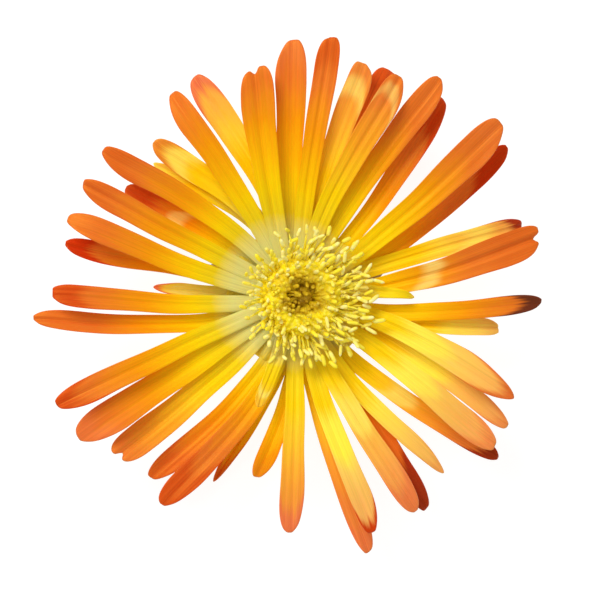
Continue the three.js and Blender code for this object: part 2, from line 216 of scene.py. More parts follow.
# How an end closes: the share of the petal that it takes, how square it is, and its notch
End = namedtuple("End", "depth squareness notch")
ENDS = {
    "round": End(0.18, 2.2, 0.0),
    "blunt": End(0.13, 2.6, 0.0),
    "pointed": End(0.3, 1.7, 0.0),
    "notched": End(0.15, 2.7, 0.7),
}

# Stamens: the frame's own hundred, then more of the same tuft between them. Millimetres. A
# furrow, a lump and what is ragged in the core each have a height and a size.
CAD_STAMENS = 100
PAD_INNER = 1.5
PAD_OUTER = 3.2
PAD_TOP = 8.0
PAD_BASE = 5.5
PAD_STEPS = 64
CORE_PROFILE = [
    (1.4, 7.6), (3.1, 7.6), (3.9, 8.8), (4.2, 9.9), (3.6, 11.0), (2.7, 11.3), (1.8, 11.0),
    (1.1, 10.4), (1.0, 9.0),
]
CORE_STEPS = 120
CORE_LEAN = 0.12
CORE_FURROWS = 9
CORE_FURROW = (0.3, 2)
CORE_LUMP = (0.25, 0.5)
CORE_RAGGED = (0.8, 0.9)
CORE_RAGGED_IN = (2.4, 1.4)
STAMEN_ROOTS = (1.7, 3.0)
STAMEN_SUNK = 0.4
SPREAD = (-0.2, 4.6)
INFILL_SPREAD = -1.1
STRAY = (0.7, 1.1)
RISE = (4.7, 3.3)
RISE_STRAY = 0.9
INFILL_LOWER = (0.6, 2.4)
INFILL_TURN = 61
BUNCHES = 11
BUNCHING = 5
TWIST = 22
BEND_AT = (0.45, 0.86)
BEND_SPREAD = 0.15
TUFT_LEAN = 0.9
FILAMENT_FACES = (6, 8)
FILAMENT_TAPER = (1.3, 0.85)
FILAMENT_STEPS = 12
INSIDE_ANTHER = 0.75

# Anthers: those on the outer right nod outwards and are longer, and those on the left and in
# the middle are more golden. Pairs are from least to most. Places in millimetres.
ANTHER_FACES = (8, 7)
NODDING_RIGHT = (-4, 3)
NODDING_OUT = (1.5, 4.0)
UPRIGHT = (0.35, 0.05)
LENGTHS = (0.95, 1.25)
LENGTH_STRAY = (0.8, 1.2)
WIDTH_STRAY = (0.95, 1.3)
TIPPED_BY = 54
TURNED_BY = 2.2
OVERLAP = 0.3
LOBE_WAIST = 0.7
LOBE_TAPER = (3.6, 0.5)
GOLDEN_LEFT = 0.05
GOLDEN_FROM_RIGHT = (3, -3)
GOLDEN_MIDDLE = 0.4
GOLDEN_INWARDS = (3.6, 1.6)

# Pistil: a low dome, and on it five stigmas grown together below. Millimetres.
DOME_PROFILE = [(0, 5.5), (1.2, 5.5), (1.2, 6.46), (0.864, 6.97), (0.36, 7.1), (0, 7.1)]
DOME_STEPS = 48
STIGMAS = 5
STIGMA_RADIUS = 0.45
STIGMA_SPREAD = 0.75
STIGMA_ROOT = 6.3
STIGMA_TOP = 11.0
STIGMA_BEND = 10.2
STIGMA_TAPER = (0.32, 0.1)
STIGMA_HEADING = 30
STIGMA_FACES = (10, 18)
STIGMA_WART = 0.14
STIGMA_WARTS = (5, 40)
STIGMA_ENDS = (30, 12)
STIGMAS_PALE_FROM = 9.6
STYLE_PROFILE = [
    (0, 7.0), (0.9, 7.0), (1.25, 8.6), (1.2, 9.6), (0.8, 10.1), (0.35, 10.15), (0, 10.1),
]
STYLE_LUMP = (0.2, 0.4)

# Where a petal has each tone, and where flush and streaks begin to shift them and do so in full,
# as distances from the axis in millimetres; and how far the cream reaches out more on the side
# towards the lamp, as painted light
BLOOM_RADIUS = 26.0
INNER_TONES = [("cream", 5.1), ("yellow", 8.0), ("gold", 11.0)]
RIPE_TONES = INNER_TONES + [("amber", 14.0), ("orange", 17.5), ("red", 22.5)]
# The pale tones are partly the petals' own paler colour and partly painted sheen; butter is a painted
# highlight band
PALE_TONES = INNER_TONES + [("butter_highlight", 13.3), ("peach", 17.2), ("coral", 22.5)]
SHIFTING = (5.1, 14.0)
CREAM_LEAN = 1.7
CREAM_HEADING = 165
CREAM_STRAIGHT = (14.0, 6.5)

# Streaks on a petal: how often they come across it, along it and from petal to petal, and how
# many millimetres they and the margins shift the tones
FINE_STREAKS = (46, 1.6, 1)
BROAD_STREAKS = (13, 1.1, 1)
CLOUDS = (3, 6, 1)
SEED_SPACING = 7.0
STREAK_SHIFT = 5.0
MARGIN_SHIFT = 2.0
CLOUD_SHIFT = 3.0

# A painted highlight patch, in shares of the petal: the stretch over which it fades, how ragged
# and how slanted it is, how much it grows on the palest petals, and how strong it is at least
PATCH_EDGE = (-0.024, 0.036)
PATCH_RAGGED = 0.072
PATCH_SLANT = 0.08
PATCH_GROWTH = 1.3
PATCH_LEAST = 0.15

# The blush of a tip, in shares of the petal: where it starts and how much later on the reddest,
# where it is full, how much further in it comes for streaks and for each millimetre of flush, and
# how much further out it stays on the palest. The gain makes up for blushes that are below 1.
BLUSH_FROM = 0.76
BLUSH_LATER = 0.045
BLUSH_REDDEST = (0.6, 1.0)
BLUSH_FULL = 0.9
BLUSH_STREAKS = 0.16
FLUSH_REACH = 0.03
PALE_HOLD = 0.05
BLUSH_GAIN = 1.3

# Where the tones of the tips lie: no blush is red, and a blush of 1 is scarlet
TIP_TONES = [("salmon", 0.0), ("red", 0.39), ("scarlet", 0.77), ("maroon", 1.0)]

# Where a filament has each tone, in shares of its length; the shade tone at the root is painted shade
FILAMENT_TONES = [("shade", 0.0), ("filament", 0.3), ("filament", 0.55), ("anther", 0.9)]

# The sunken middle of the tuft, toned olive as painted shade: how soft and how ragged the edge of
# that tone is, in millimetres, how far it leans to the top of the picture, and how deep it is
HOLLOW_EDGE = 0.7
HOLLOW_RAGGED = 4.0
HOLLOW_LEAN = 0.25
HOLLOW_DEPTH = 0.85

# What the camera looks at, and how far the floor lies below the foot, so that the two never
# share a plane. Millimetres.
AIM = (0, -0.3, 9)
FLOOR_DROP = 0.02


def tone(code):
    """A colour as the shaders take it, from its usual six-figure code."""
    shares = [int(code[i:i + 2], 16) / 255 for i in (0, 2, 4)]
    return tuple(((s + 0.055) / 1.055) ** 2.4 if s > 0.04045 else s / 12.92 for s in shares)


def scatter(index, stream):
    """Evenly scattered values from 0 to 1, the same on every run."""
    return ((index + 1) * (0.618034 + 0.1732051 * stream) + 0.37 * stream) % 1.0


def swing(index, stream):
    """The same values, from -1 to 1."""
    return 2 * scatter(index, stream) - 1


def mix(start, end, share):
    """The value that lies at that share of the way from start to end."""
    return start + (end - start) * share


def ease(low, high, value):
    """0 below low, 1 above high, and smooth between them."""
    share = min(1.0, max(0.0, (value - low) / (high - low)))
    return share * share * (3 - 2 * share)


def rounded(share):
    """0 at 0, 1 from 1 on, and a quarter of a circle between them."""
    return math.sqrt(max(0.0, 1 - max(0.0, 1 - share) ** 2))


def round_axis(angle, radius, height):
    """The point at that angle in radians, distance from the axis and height."""
    return Vector((radius * math.cos(angle), radius * math.sin(angle), height))


def place(heading, radius, height):
    """A point in metres, from a heading in degrees and lengths in millimetres."""
    return round_axis(math.radians(heading), radius, height) * MM


def radius_of(point):
    """A point's distance from the axis, in millimetres."""
    return math.hypot(point.x, point.y) / MM


def heading_of(point):
    """A point's heading in radians."""
    return math.atan2(point.y, point.x)


def lump_at(point, height, size):
    """How high lumps of that height and size, in millimetres, stand at a point."""
    return height * noise.noise(point / (size * MM))


def bow(start, bend, end, share):
    """A point on the arc from start to end that leans towards bend."""
    return start.lerp(bend, share).lerp(bend.lerp(end, share), share)


def eased(profile, rounds=2, closed=False):
    """The same outline with its corners cut, which leaves its ends where they are."""
    for _ in range(rounds):
        cut = [] if closed else [profile[0]]
        pairs = list(zip(profile, profile[1:] + profile[:1] if closed else profile[1:]))
        for start, end in pairs:
            for share in (0.25, 0.75):
                cut.append((mix(start[0], end[0], share), mix(start[1], end[1], share)))
        if not closed:
            cut.append(profile[-1])
        profile = cut
    return profile


def turned(bm, profile, steps, closed=False):
    """Spins an outline of radius and height, in millimetres, about the axis."""
    verts = [bm.verts.new((radius * MM, 0, height * MM)) for radius, height in profile]
    pairs = list(zip(verts, verts[1:]))
    if closed:
        pairs.append((verts[-1], verts[0]))
    edges = [bm.edges.new(pair) for pair in pairs]
    bmesh.ops.spin(bm, geom=verts + edges, cent=(0, 0, 0), axis=UP, angle=2 * math.pi,
                   steps=steps, use_merge=True)
    bmesh.ops.remove_doubles(bm, verts=bm.verts, dist=TOUCHING)
    bmesh.ops.recalc_face_normals(bm, faces=bm.faces)


def bent_grid(bm, faces, shape):
    """A grid with shape(u, v) giving each corner's place, u across and v along from 0 to 1."""
    made = bmesh.ops.create_grid(bm, x_segments=faces[0], y_segments=faces[1], size=0.5,
                                 calc_uvs=True)
    for vert in made["verts"]:
        vert.co = shape(vert.co.x + 0.5, vert.co.y + 0.5)
    return made["verts"]


def tube(bm, faces, line, radius):
    """A tube round a line, both ends closed; radius(u, v) is in millimetres."""
    def shape(u, v):
        forward = (line(v + 0.01) - line(v - 0.01)).normalized()
        across = forward.cross(Vector((-forward.y, forward.x, 0.001))).normalized()
        return line(v) + Quaternion(forward, 2 * math.pi * u) @ across * radius(u, v) * MM

    verts = bent_grid(bm, faces, shape)
    bmesh.ops.remove_doubles(bm, verts=verts, dist=TOUCHING)
    return [vert for vert in verts if vert.is_valid]


def node(tree, kind, inputs, output=0, **settings):
    """A new shader node's output as a field; each input gets a value or a field."""
    made = tree.nodes.new(kind)
    for name, value in settings.items():
        setattr(made, name, value)
    for name, value in inputs.items():
        if isinstance(value, Field):
            tree.links.new(value.socket, made.inputs[name])
        else:
            made.inputs[name].default_value = value
    return Field(made.outputs[output])


class Field:
    """What a shader socket gives all over a piece. Plain arithmetic works on it."""

    def __init__(self, socket):
        self.socket = socket
        self.tree = socket.id_data

    def calc(self, operation, other=0.0, third=0.0, clamp=False):
        """One step of arithmetic with other fields or numbers."""
        inputs = {0: self, 1: other, 2: third}
        return node(self.tree, "ShaderNodeMath", inputs, operation=operation, use_clamp=clamp)

    __abs__ = partialmethod(calc, "ABSOLUTE")
    __add__ = partialmethod(calc, "ADD")
    __sub__ = partialmethod(calc, "SUBTRACT")
    __rsub__ = partialmethod(calc, "MULTIPLY_ADD", -1.0)
    __mul__ = partialmethod(calc, "MULTIPLY")
    __truediv__ = partialmethod(calc, "DIVIDE")
    __pow__ = partialmethod(calc, "POWER")

    def between(self, low, high):
        """The value that lies at this share of the way from low to high."""
        return self * (high - low) + low

    def step(self, low, high):
        """0 below low, 1 above high, and smooth between them."""
        inputs = {"Value": self, "From Min": low, "From Max": high}
        return node(self.tree, "ShaderNodeMapRange", inputs, interpolation_type="SMOOTHSTEP")

    def parts(self):
        """The three parts of a vector."""
        split = node(self.tree, "ShaderNodeSeparateXYZ", {0: self})
        return [Field(socket) for socket in split.socket.node.outputs]

    def stretched(self, *scale):
        """A vector with each of its parts scaled on its own."""
        return node(self.tree, "ShaderNodeVectorMath", {0: self, 1: scale}, operation="MULTIPLY")

    def grain(self, scale, detail=2.0):
        """A soft random value about a half, by place."""
        return node(self.tree, "ShaderNodeTexNoise", {"Vector": self, "Scale": scale, "Detail": detail})

    def cells(self, scale):
        """The distance to the nearest of many scattered points, by place."""
        return node(self.tree, "ShaderNodeTexVoronoi", {"Vector": self, "Scale": scale})


def blend(factor, first, second, mode="MIX"):
    """The second colour over the first; each is a field or three numbers."""
    tree = next(value.tree for value in (factor, first, second) if isinstance(value, Field))
    colours = [value if isinstance(value, Field) else (*value, 1) for value in (first, second)]
    inputs = {0: factor, 6: colours[0], 7: colours[1]}
    return node(tree, "ShaderNodeMix", inputs, output=2, data_type="RGBA", blend_type=mode)


def ramp(field, tones, places, full=1.0):
    """The named tones, each at its place, on a ramp which the field goes along from 0 to full."""
    made = node(field.tree, "ShaderNodeValToRGB", {"Fac": field / full})
    elements = made.socket.node.color_ramp.elements
    while len(elements) < len(places):
        elements.new(1.0)
    for element, (name, position) in zip(elements, places):
        element.position = position / full
        element.color = (*getattr(tones, name), 1)
    return made


def value_of(tree, name):
    """The piece's own value of that name."""
    return node(tree, "ShaderNodeAttribute", {}, output="Fac", attribute_name=name)


def object_place(tree):
    """A point's place on its piece, in metres."""
    return node(tree, "ShaderNodeTexCoord", {}, output="Object")


def skin_place(tree):
    """A point's place across and along its petal or stamen, each from 0 to 1."""
    return node(tree, "ShaderNodeUVMap", {}, uv_map="skin").parts()[:2]


Spot = namedtuple("Spot", "place north radius heading height")


def spot_of(tree):
    """A point's place in metres, its heading, and its other measures in millimetres."""
    place_of = object_place(tree)
    x, y, z = (part / MM for part in place_of.parts())
    return Spot(place_of, y, (x * x + y * y).calc("SQRT"), y.calc("ARCTAN2", x), z)


def soft(share, reach, scale):
    """Settings for light that goes into a skin: how much, how far by colour, in millimetres."""
    return {"Subsurface_Weight": share, "Subsurface_Radius": reach, "Subsurface_Scale": scale * MM}


def shader_inputs(tree):
    """The sockets of the material's own shader."""
    return tree.nodes["Principled BSDF"].inputs


Surface = namedtuple("Surface", "colour roughness relief depth")


def finish(name, **settings):
    """Makes a material of a function that gives its surface; the relief's depth is in millimetres."""
    def finish_of(describe):
        @wraps(describe)
        def make(tones):
            material = bpy.data.materials.new(name)
            material.use_nodes = True
            tree = material.node_tree
            for socket, value in settings.items():
                shader_inputs(tree)[socket.replace("_", " ")].default_value = value
            surface = describe(tree, tones)
            bump = node(tree, "ShaderNodeBump", {
                "Height": surface.relief, "Strength": 1.0, "Distance": surface.depth * MM,
            })
            fields = {"Base Color": surface.colour, "Roughness": surface.roughness, "Normal": bump}
            for socket, field in fields.items():
                tree.links.new(field.socket, shader_inputs(tree)[socket])
            return material

        return make

    return finish_of


Skin = namedtuple("Skin", "across along fine broad clouds pale")


def petal_streaks(tree):
    """A point's place on its petal, the streaks there, and how pale the petal is."""
    across, along = skin_place(tree)
    seed = value_of(tree, "seed") * SEED_SPACING
    lane = node(tree, "ShaderNodeCombineXYZ", {0: across, 1: along, 2: seed})
    streaks = [lane.stretched(*size).grain(1.0) for size in (FINE_STREAKS, BROAD_STREAKS, CLOUDS)]
    return Skin(across, along, *streaks, value_of(tree, "pale"))


def ripened(tree, tones, skin):
    """Cream, yellow, orange and red by distance from the axis, shifted by streaks and flush; on the
    palest petals the pale tones, partly painted sheen with a painted highlight band.
    """
    radius = value_of(tree, "radius")
    shift = (skin.broad * 0.5 + skin.fine * 0.5 - 0.5) * STREAK_SHIFT
    shift += abs(skin.across * 2.0 - 1.0) ** 3.0 * MARGIN_SHIFT
    shift += (skin.clouds - 0.5) * CLOUD_SHIFT + value_of(tree, "flush")
    shifted = radius + shift * radius.step(*SHIFTING)
    ripe = ramp(shifted, tones, RIPE_TONES, BLOOM_RADIUS)
    return blend(skin.pale, ripe, ramp(shifted, tones, PALE_TONES, BLOOM_RADIUS))


def highlighted(tree, tones, skin, colour):
    """The colour, with a painted highlight across each petal that has one."""
    away = abs(skin.along - value_of(tree, "patch") + (skin.across - 0.5) * PATCH_SLANT)
    away = away / (skin.pale * PATCH_GROWTH + 1.0) - skin.clouds * PATCH_RAGGED
    strength = skin.broad * 0.8 + skin.pale * 0.25 + PATCH_LEAST
    share = (1.0 - away.step(*PATCH_EDGE)).calc("MULTIPLY", strength, clamp=True)
    # Painted highlight colours
    return blend(share, colour, blend(skin.pale, tones.fold, tones.lemon_highlight))


def blushed(tree, tones, skin, colour):
    """The colour, with the tip's own tone over the end of the petal."""
    blush = value_of(tree, "blush")
    none, one = TIP_TONES[1][1], TIP_TONES[2][1]
    tips = ramp(blush * (one - none) + none, tones, TIP_TONES)
    flush = value_of(tree, "flush").calc("MAXIMUM", 0.0)
    reached = skin.along + (skin.broad - 0.5) * BLUSH_STREAKS
    reached += flush * FLUSH_REACH - skin.pale * PALE_HOLD
    start = blush.step(*BLUSH_REDDEST) * BLUSH_LATER + BLUSH_FROM
    share = reached.step(start, BLUSH_FULL) * abs(blush).calc("MULTIPLY", BLUSH_GAIN, clamp=True)
    return blend(share, colour, tips)


@finish("petal_skin", Specular_IOR_Level=0.34, **soft(0.2, (1.0, 0.5, 0.1), 0.5))
def petal_finish(tree, tones):
    """Silky petal skin: cream at the root, yellow, orange, a painted highlight on some petals, and a
    blush at the tip.
    """
    shader_inputs(tree)["Specular Tint"].default_value = (*tones.sheen, 1)
    skin = petal_streaks(tree)
    colour = ripened(tree, tones, skin)
    colour = highlighted(tree, tones, skin, colour)
    colour = blushed(tree, tones, skin, colour)
    shade = skin.fine.between(0.74, 1.24)
    grey = node(tree, "ShaderNodeCombineColor", {0: shade, 1: shade, 2: shade})
    colour = blend(1.0, colour, grey, "MULTIPLY")
    relief = skin.fine * 0.7 + skin.broad * 0.6
    return Surface(colour, skin.broad.between(0.34, 0.5), relief, depth=0.03)


@finish("collar_skin", Specular_IOR_Level=0.35, **soft(0.15, (1.0, 0.8, 0.3), 0.5))
def collar_finish(tree, tones):
    """Cream-green, finely ridged towards the petals."""
    spot = spot_of(tree)
    ring = node(tree, "ShaderNodeCombineXYZ", {0: spot.heading * 12.0, 1: spot.radius * 0.3})
    ridges = ring.grain(2.2)
    colour = blend(spot.radius.step(*COLLAR_YELLOWING), tones.cream, tones.yellow)
    colour = blend(ridges.step(0.35, 0.65) * 0.4, colour, tones.moss)
    return Surface(colour, ridges.between(0.42, 0.62), relief=ridges, depth=0.08)


def painted_hollow_shade(tree, colour, hollow_shade):
    """The colour, with painted shade: olive in a ragged patch round the axis, where little light comes
    down.
    """
    spot = spot_of(tree)
    ragged = spot.radius - spot.place.grain(520.0) * HOLLOW_RAGGED - spot.north * HOLLOW_LEAN
    inside = 1.0 - ragged.step(-HOLLOW_EDGE, HOLLOW_EDGE)
    return blend(inside * HOLLOW_DEPTH, colour, hollow_shade)


@finish("pad_skin")
def pad_finish(tree, tones):
    """Golden and warty, mottled with painted shade."""
    warts = object_place(tree).grain(2500.0)
    colour = blend(warts, tones.shade, tones.filament)
    return Surface(colour, warts.between(0.4, 0.6), relief=warts, depth=0.08)


@finish("filament_skin", Specular_IOR_Level=0.3, **soft(0.5, (1.0, 0.8, 0.1), 0.8))
def filament_finish(tree, tones):
    """Golden, darker towards the root with painted shade, and paler towards the anther."""
    _, along = skin_place(tree)
    clouds = object_place(tree).grain(900.0)
    colour = ramp(along + (clouds - 0.5) * 0.3, tones, FILAMENT_TONES)
    colour = blend(value_of(tree, "seed") * 0.35, colour, tones.amber)
    # Painted shade in the sunken middle of the tuft
    colour = painted_hollow_shade(tree, colour, tones.hollow_shade)
    return Surface(colour, clouds.between(0.4, 0.55), relief=clouds, depth=0.02)


@finish("pollen", Specular_IOR_Level=0.25, **soft(0.3, (1.0, 0.8, 0.3), 0.4))
def anther_finish(tree, tones):
    """Pale yellow pollen, powdery and a little uneven."""
    place_of = object_place(tree)
    powder = place_of.grain(9000.0, 3.0)
    colour = blend(place_of.grain(1500.0).step(0.3, 0.7), tones.pollen, tones.anther)
    colour = blend(value_of(tree, "seed").step(0.25, 0.85) * 0.85, colour, tones.filament)
    # Painted shade in the sunken middle of the tuft
    colour = painted_hollow_shade(tree, colour, tones.hollow_shade)
    return Surface(colour, powder.between(0.55, 0.75), relief=powder, depth=0.03)


@finish("core_skin", Specular_IOR_Level=0.25, **soft(0.4, (1.0, 0.8, 0.1), 0.8))
def core_finish(tree, tones):
    """Golden, with paler grains crowded together like more anthers below the first, painted shade in
    the gaps between them and in the sunken middle.
    """
    place_of = object_place(tree)
    grains = place_of.stretched(1, 1, 0.6).cells(2300.0)
    clumps = place_of.grain(700.0)
    colour = blend(grains.step(0.2, 0.55), tones.anther, tones.filament)
    # Painted shade in the gaps between the grains
    colour = blend(grains.step(0.7, 1.0), colour, tones.hollow_shade)
    colour = blend(clumps * 0.3, colour, tones.amber)
    # Painted shade in the sunken middle of the tuft
    colour = painted_hollow_shade(tree, colour, tones.hollow_shade)
    return Surface(colour, clumps.between(0.45, 0.65), relief=1.0 - grains, depth=0.16)


@finish("pistil_skin", Specular_IOR_Level=0.25)
def pistil_finish(tree, tones):
    """Moist golden olive, paler at the tips of the stigmas, with painted shade in darker streaks and
    painted glints on the warts.
    """
    spot = spot_of(tree)
    warts = spot.place.grain(4200.0)
    streaks = spot.place.stretched(1, 1, 0.4).grain(1300.0)
    colour = blend(spot.height.step(STIGMAS_PALE_FROM, STIGMA_TOP), tones.olive, tones.bronze)
    # Painted shade: darker streaks of umber
    colour = blend(streaks.step(0.42, 0.62) * 0.5, colour, tones.umber)
    # Painted highlight: glints on the warts
    colour = blend(warts.step(0.5, 0.7) * 0.6, colour, tones.glint)
    return Surface(colour, warts.between(0.25, 0.55), relief=warts, depth=0.06)


@finish("calyx_skin", Specular_IOR_Level=0.45, **soft(0.12, (0.5, 1.0, 0.2), 0.6))
def calyx_finish(tree, tones):
    """Fleshy green skin with fine bladders, red at the sepals' tips and tan at the scar."""
    spot = spot_of(tree)
    dome = 1.0 - spot.place.cells(4200.0)
    colour = blend(spot.place.grain(420.0).step(0.35, 0.65), tones.skin, tones.young)
    colour = blend(spot.height.step(*CUP_YOUNG) * 0.6, colour, tones.young)
    colour = blend(spot.radius.step(*SEPAL_FLUSHED) * 0.75, colour, tones.flush)
    colour = blend(dome.step(0.45, 0.9) * 0.3, colour, tones.bladder)
    rings = spot.place.stretched(1, 1, 0).grain(2600.0)
    torn = spot.radius + rings * SCAR_RAGGED
    scar = 1.0 - torn.step(SCAR_RADIUS, SCAR_RADIUS * SCAR_FADING)
    below = 1.0 - spot.height.step(*SCAR_HEIGHT)
    colour = blend(scar * below, colour, blend(rings, tones.scar, tones.pith))
    return Surface(colour, dome.between(0.5, 0.35), relief=dome, depth=0.05)


@finish("pale_board", Specular_IOR_Level=0.2, Emission_Color=(1, 1, 1, 1))
def floor_finish(tree, tones):
    """Matt pale board."""
    shader_inputs(tree)["Emission Strength"].default_value = tones.glow
    fibre = object_place(tree).grain(60.0, 4.0)
    colour = blend(fibre, tones.board, tones.board_shade)
    return Surface(colour, fibre.between(0.75, 0.85), relief=fibre, depth=0.01)


def finished(bm, name, material, stands_for=None):
    """Turns a mesh in the making into a smooth piece that rides on the bloom."""
    mesh = bpy.data.meshes.new(name)
    for face in bm.faces:
        face.smooth = True
    bm.to_mesh(mesh)
    bm.free()
    mesh.materials.append(material)
    piece = bpy.data.objects.new(name, mesh)
    bpy.context.scene.collection.objects.link(piece)
    if stands_for:
        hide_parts(stands_for)
        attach(piece, "root")
    return piece


def petal_line(petal, index, share):
    """The middle line: it turns in plan most near the root, rises, and levels out."""
    heading = mix(petal.tip, petal.root, max(0.0, 1 - share) ** PETAL_SWEEP)
    radius = mix(PETAL_ROOT_RADIUS, petal.reach, share)
    root, crown, tip = (LOWEST[part] + STEP[part] * petal.level for part in ("root", "crown", "tip"))
    tip += TIP_SCATTER * swing(index, 1)
    return place(heading, radius, mix(mix(root, crown, share), mix(crown, tip, share), share))


def petal_stations(petal, index, sizes):
    """Middle point, sideways and upward directions at even steps along a petal."""
    roll = math.radians(PETAL_ROLL * swing(index, 2))
    swell = 2 * math.pi * scatter(index, 6)
    curl = sizes.curl * swing(index, 7)
    stations = []
    for station in range(PETAL_STATIONS + 1):
        share = station / PETAL_STATIONS
        middle = petal_line(petal, index, share)
        ahead = petal_line(petal, index, share + 0.01)
        forward = (ahead - petal_line(petal, index, share - 0.01)).normalized()
        across = Quaternion(forward, roll * share) @ UP.cross(forward).normalized()
        normal = forward.cross(across)
        wave = sizes.wave * ease(*WAVING, share)
        lift = wave * math.sin(WAVES * share + swell) + curl * ease(*CURLING, share) ** 2
        middle += normal * lift
        middle += across * SWAY * wave * math.sin(SWAYS * share + 2 * swell)
        stations.append((middle, across, normal))
    return stations


def petal_shape(petal, index, sizes):
    """A function of u and v that gives a petal's middle surface, its normal and thickness."""
    end = ENDS[petal.end]
    stations = petal_stations(petal, index, sizes)
    slant = END_SLANT * swing(index, 8)
    crease = sizes.crease * mix(*CREASES, scatter(index, 9)) * (CREASE_AT_NOTCH if end.notch else 1.0)
    phase = 2 * math.pi * scatter(index, 10)
    length = petal.reach - PETAL_ROOT_RADIUS

    def end_at(side):
        """How far along the petal its end lies."""
        corner = 1 - (1 - min(1.0, abs(side) ** end.squareness)) ** (1 / end.squareness)
        notch = end.notch / length * math.exp(-(side / NOTCH_WIDTH) ** 2)
        ripple = END_RIPPLE * math.sin(END_RIPPLES * side + phase)
        return 1 - end.depth * corner + slant * side - notch + ripple

    def half_width(side, along):
        """How far the edge on that side lies from the middle line."""
        growth = min(1.0, along / PETAL_FULL_WIDTH_AT)
        ripple = EDGE_RIPPLE * math.sin(EDGE_RIPPLES * along + phase)
        ripple *= 1 if side > 0 else OTHER_EDGE
        return 0.5 * mix(PETAL_ROOT_WIDTH, petal.width, growth) * (1 + ripple) * MM

    def lift_at(side, along):
        """How high the channel, the crease and the ribs stand."""
        channel = sizes.channel * petal.width * side * side
        fold = crease * math.exp(-(side / CREASE_WIDTH) ** 2)
        ribs = sizes.rib * math.cos(RIBS * side + phase) * (1 - side ** 4)
        return (channel - fold + ribs) * ease(*FORMED, along)

    def shape(u, v):
        side = math.sin(math.pi * (0.5 - u))
        row = 1 - (1 - v) ** ROW_EASE
        along = min(1.0, row * end_at(side))
        at = along * PETAL_STATIONS
        low = min(PETAL_STATIONS - 1, int(at))
        pairs = zip(stations[low], stations[low + 1])
        middle, sideways, normal = (start.lerp(stop, at - low) for start, stop in pairs)
        point = middle + sideways * (side * half_width(side, along)) + normal * lift_at(side, along)
        thickness = sizes.thickness * mix(*THINNING, along)
        thickness *= max(0.0, 1 - side * side) ** RIM_FULLNESS
        thickness *= rounded((1 - row) / ROUNDED_TIP) * rounded(row / ROUNDED_ROOT)
        return point, normal, thickness

    return shape


def ripening(point):
    """Distance from the axis in millimetres, shifted so that the side towards the lamp keeps more
    cream, as painted light.
    """
    radius = radius_of(point)
    side = math.cos(heading_of(point) - math.radians(CREAM_HEADING))
    return radius - CREAM_LEAN * side * ease(*CREAM_STRAIGHT, radius)


def add_petal(bm, layers, petal, index, sizes):
    """One blade: an upper and a lower face that meet along a rounded edge."""
    shape = petal_shape(petal, index, sizes)
    cells = {}

    def cell(u, v):
        key = round(u, 5), round(v, 5)
        if key not in cells:
            cells[key] = shape(u, v)
        return cells[key]

    def skin(side):
        """The upper face for a side of 1, and the lower for -1."""
        def corner(u, v):
            point, normal, thickness = cell(u, v)
            return point + normal * (side * thickness / 2)

        return bent_grid(bm, PETAL_FACES, corner)

    verts = skin(1)
    under = skin(-1)
    turned_over = {face for vert in under for face in vert.link_faces}
    bmesh.ops.reverse_faces(bm, faces=list(turned_over))
    own = {
        "flush": petal.flush,
        "pale": petal.pale,
        "blush": petal.blush,
        "patch": 1 - (1 - petal.patch) ** (1 / ROW_EASE) if petal.patch else -1.0,
        "seed": scatter(index, 11),
    }
    for vert in verts + under:
        vert[layers["radius"]] = ripening(vert.co)
        for name, value in own.items():
            vert[layers[name]] = value
    bmesh.ops.remove_doubles(bm, verts=verts + under, dist=TOUCHING / 2)


def a_colour(name, description, default):
    """A colour that a user would change, from its code or from three numbers."""
    if isinstance(default, str):
        default = tone(default)
    return FloatVectorProperty(
        name=name, description=description, default=default, subtype="COLOR", min=0, max=1)


def a_length(name, description, default):
    """A length in metres that a user would change."""
    return FloatProperty(
        name=name, description=description, default=default, unit="LENGTH", subtype="DISTANCE",
        precision=5)


def an_angle(name, description, degrees):
    """An angle that a user would change."""
    return FloatProperty(
        name=name, description=description, default=math.radians(degrees), unit="ROTATION",
        subtype="ANGLE")


class BLOOM_PG_petals(PropertyGroup):
    thickness: a_length("Thickness", "Of a petal at its middle", 0.3 * MM)
    channel: a_length("Channel", "Rise of the edges for each millimetre of width", 0.07 * MM)
    crease: a_length("Crease", "Depth of the fold along the middle of a petal", 0.12 * MM)
    rib: a_length("Rib", "Height of the lengthwise ribs", 0.03 * MM)
    wave: a_length("Wave", "How far a petal strays from its even line", 0.16 * MM)
    curl: a_length("Curl", "How far a petal's end bends up or down", 0.7 * MM)
    cream: a_colour("Cream", "Where the petals are joined", "e5e08a")
    moss: a_colour("Moss", "In the furrows of the collar", "a8a850")
    yellow: a_colour("Yellow", "Next to the cream", "f0d018")
    gold: a_colour("Gold", "Inner third of a petal", "f8cc04")
    amber: a_colour("Amber", "Middle of a petal", "f8b804")
    orange: a_colour("Orange", "Outer third of a petal", "f09608")
    red: a_colour("Red orange", "Towards the tip", "e07024")
    # Painted highlight band across the palest petals
    butter_highlight: a_colour("Butter", "Middle of the palest petals", "fbe24c")
    peach: a_colour("Peach", "Outer third of the palest petals", "fccc5c")
    coral: a_colour("Coral", "Towards the tip of the palest petals", "f8b25c")
    # Painted highlights: the light patches on the petals
    fold: a_colour("Fold", "Pale patch where a petal's skin is folded or lit through", "ffe47c")
    lemon_highlight: a_colour("Lemon", "Such a patch on the palest petals", "ffe840")
    salmon: a_colour("Salmon", "Of the palest tips", "e4704e")
    scarlet: a_colour("Scarlet", "Of the reddest tips", "ca2e08")
    maroon: a_colour("Maroon", "Of the darkest tips", "6a281c")
    sheen: a_colour("Sheen", "Warm tint of the light that the skin mirrors", (1.0, 0.75, 0.1))


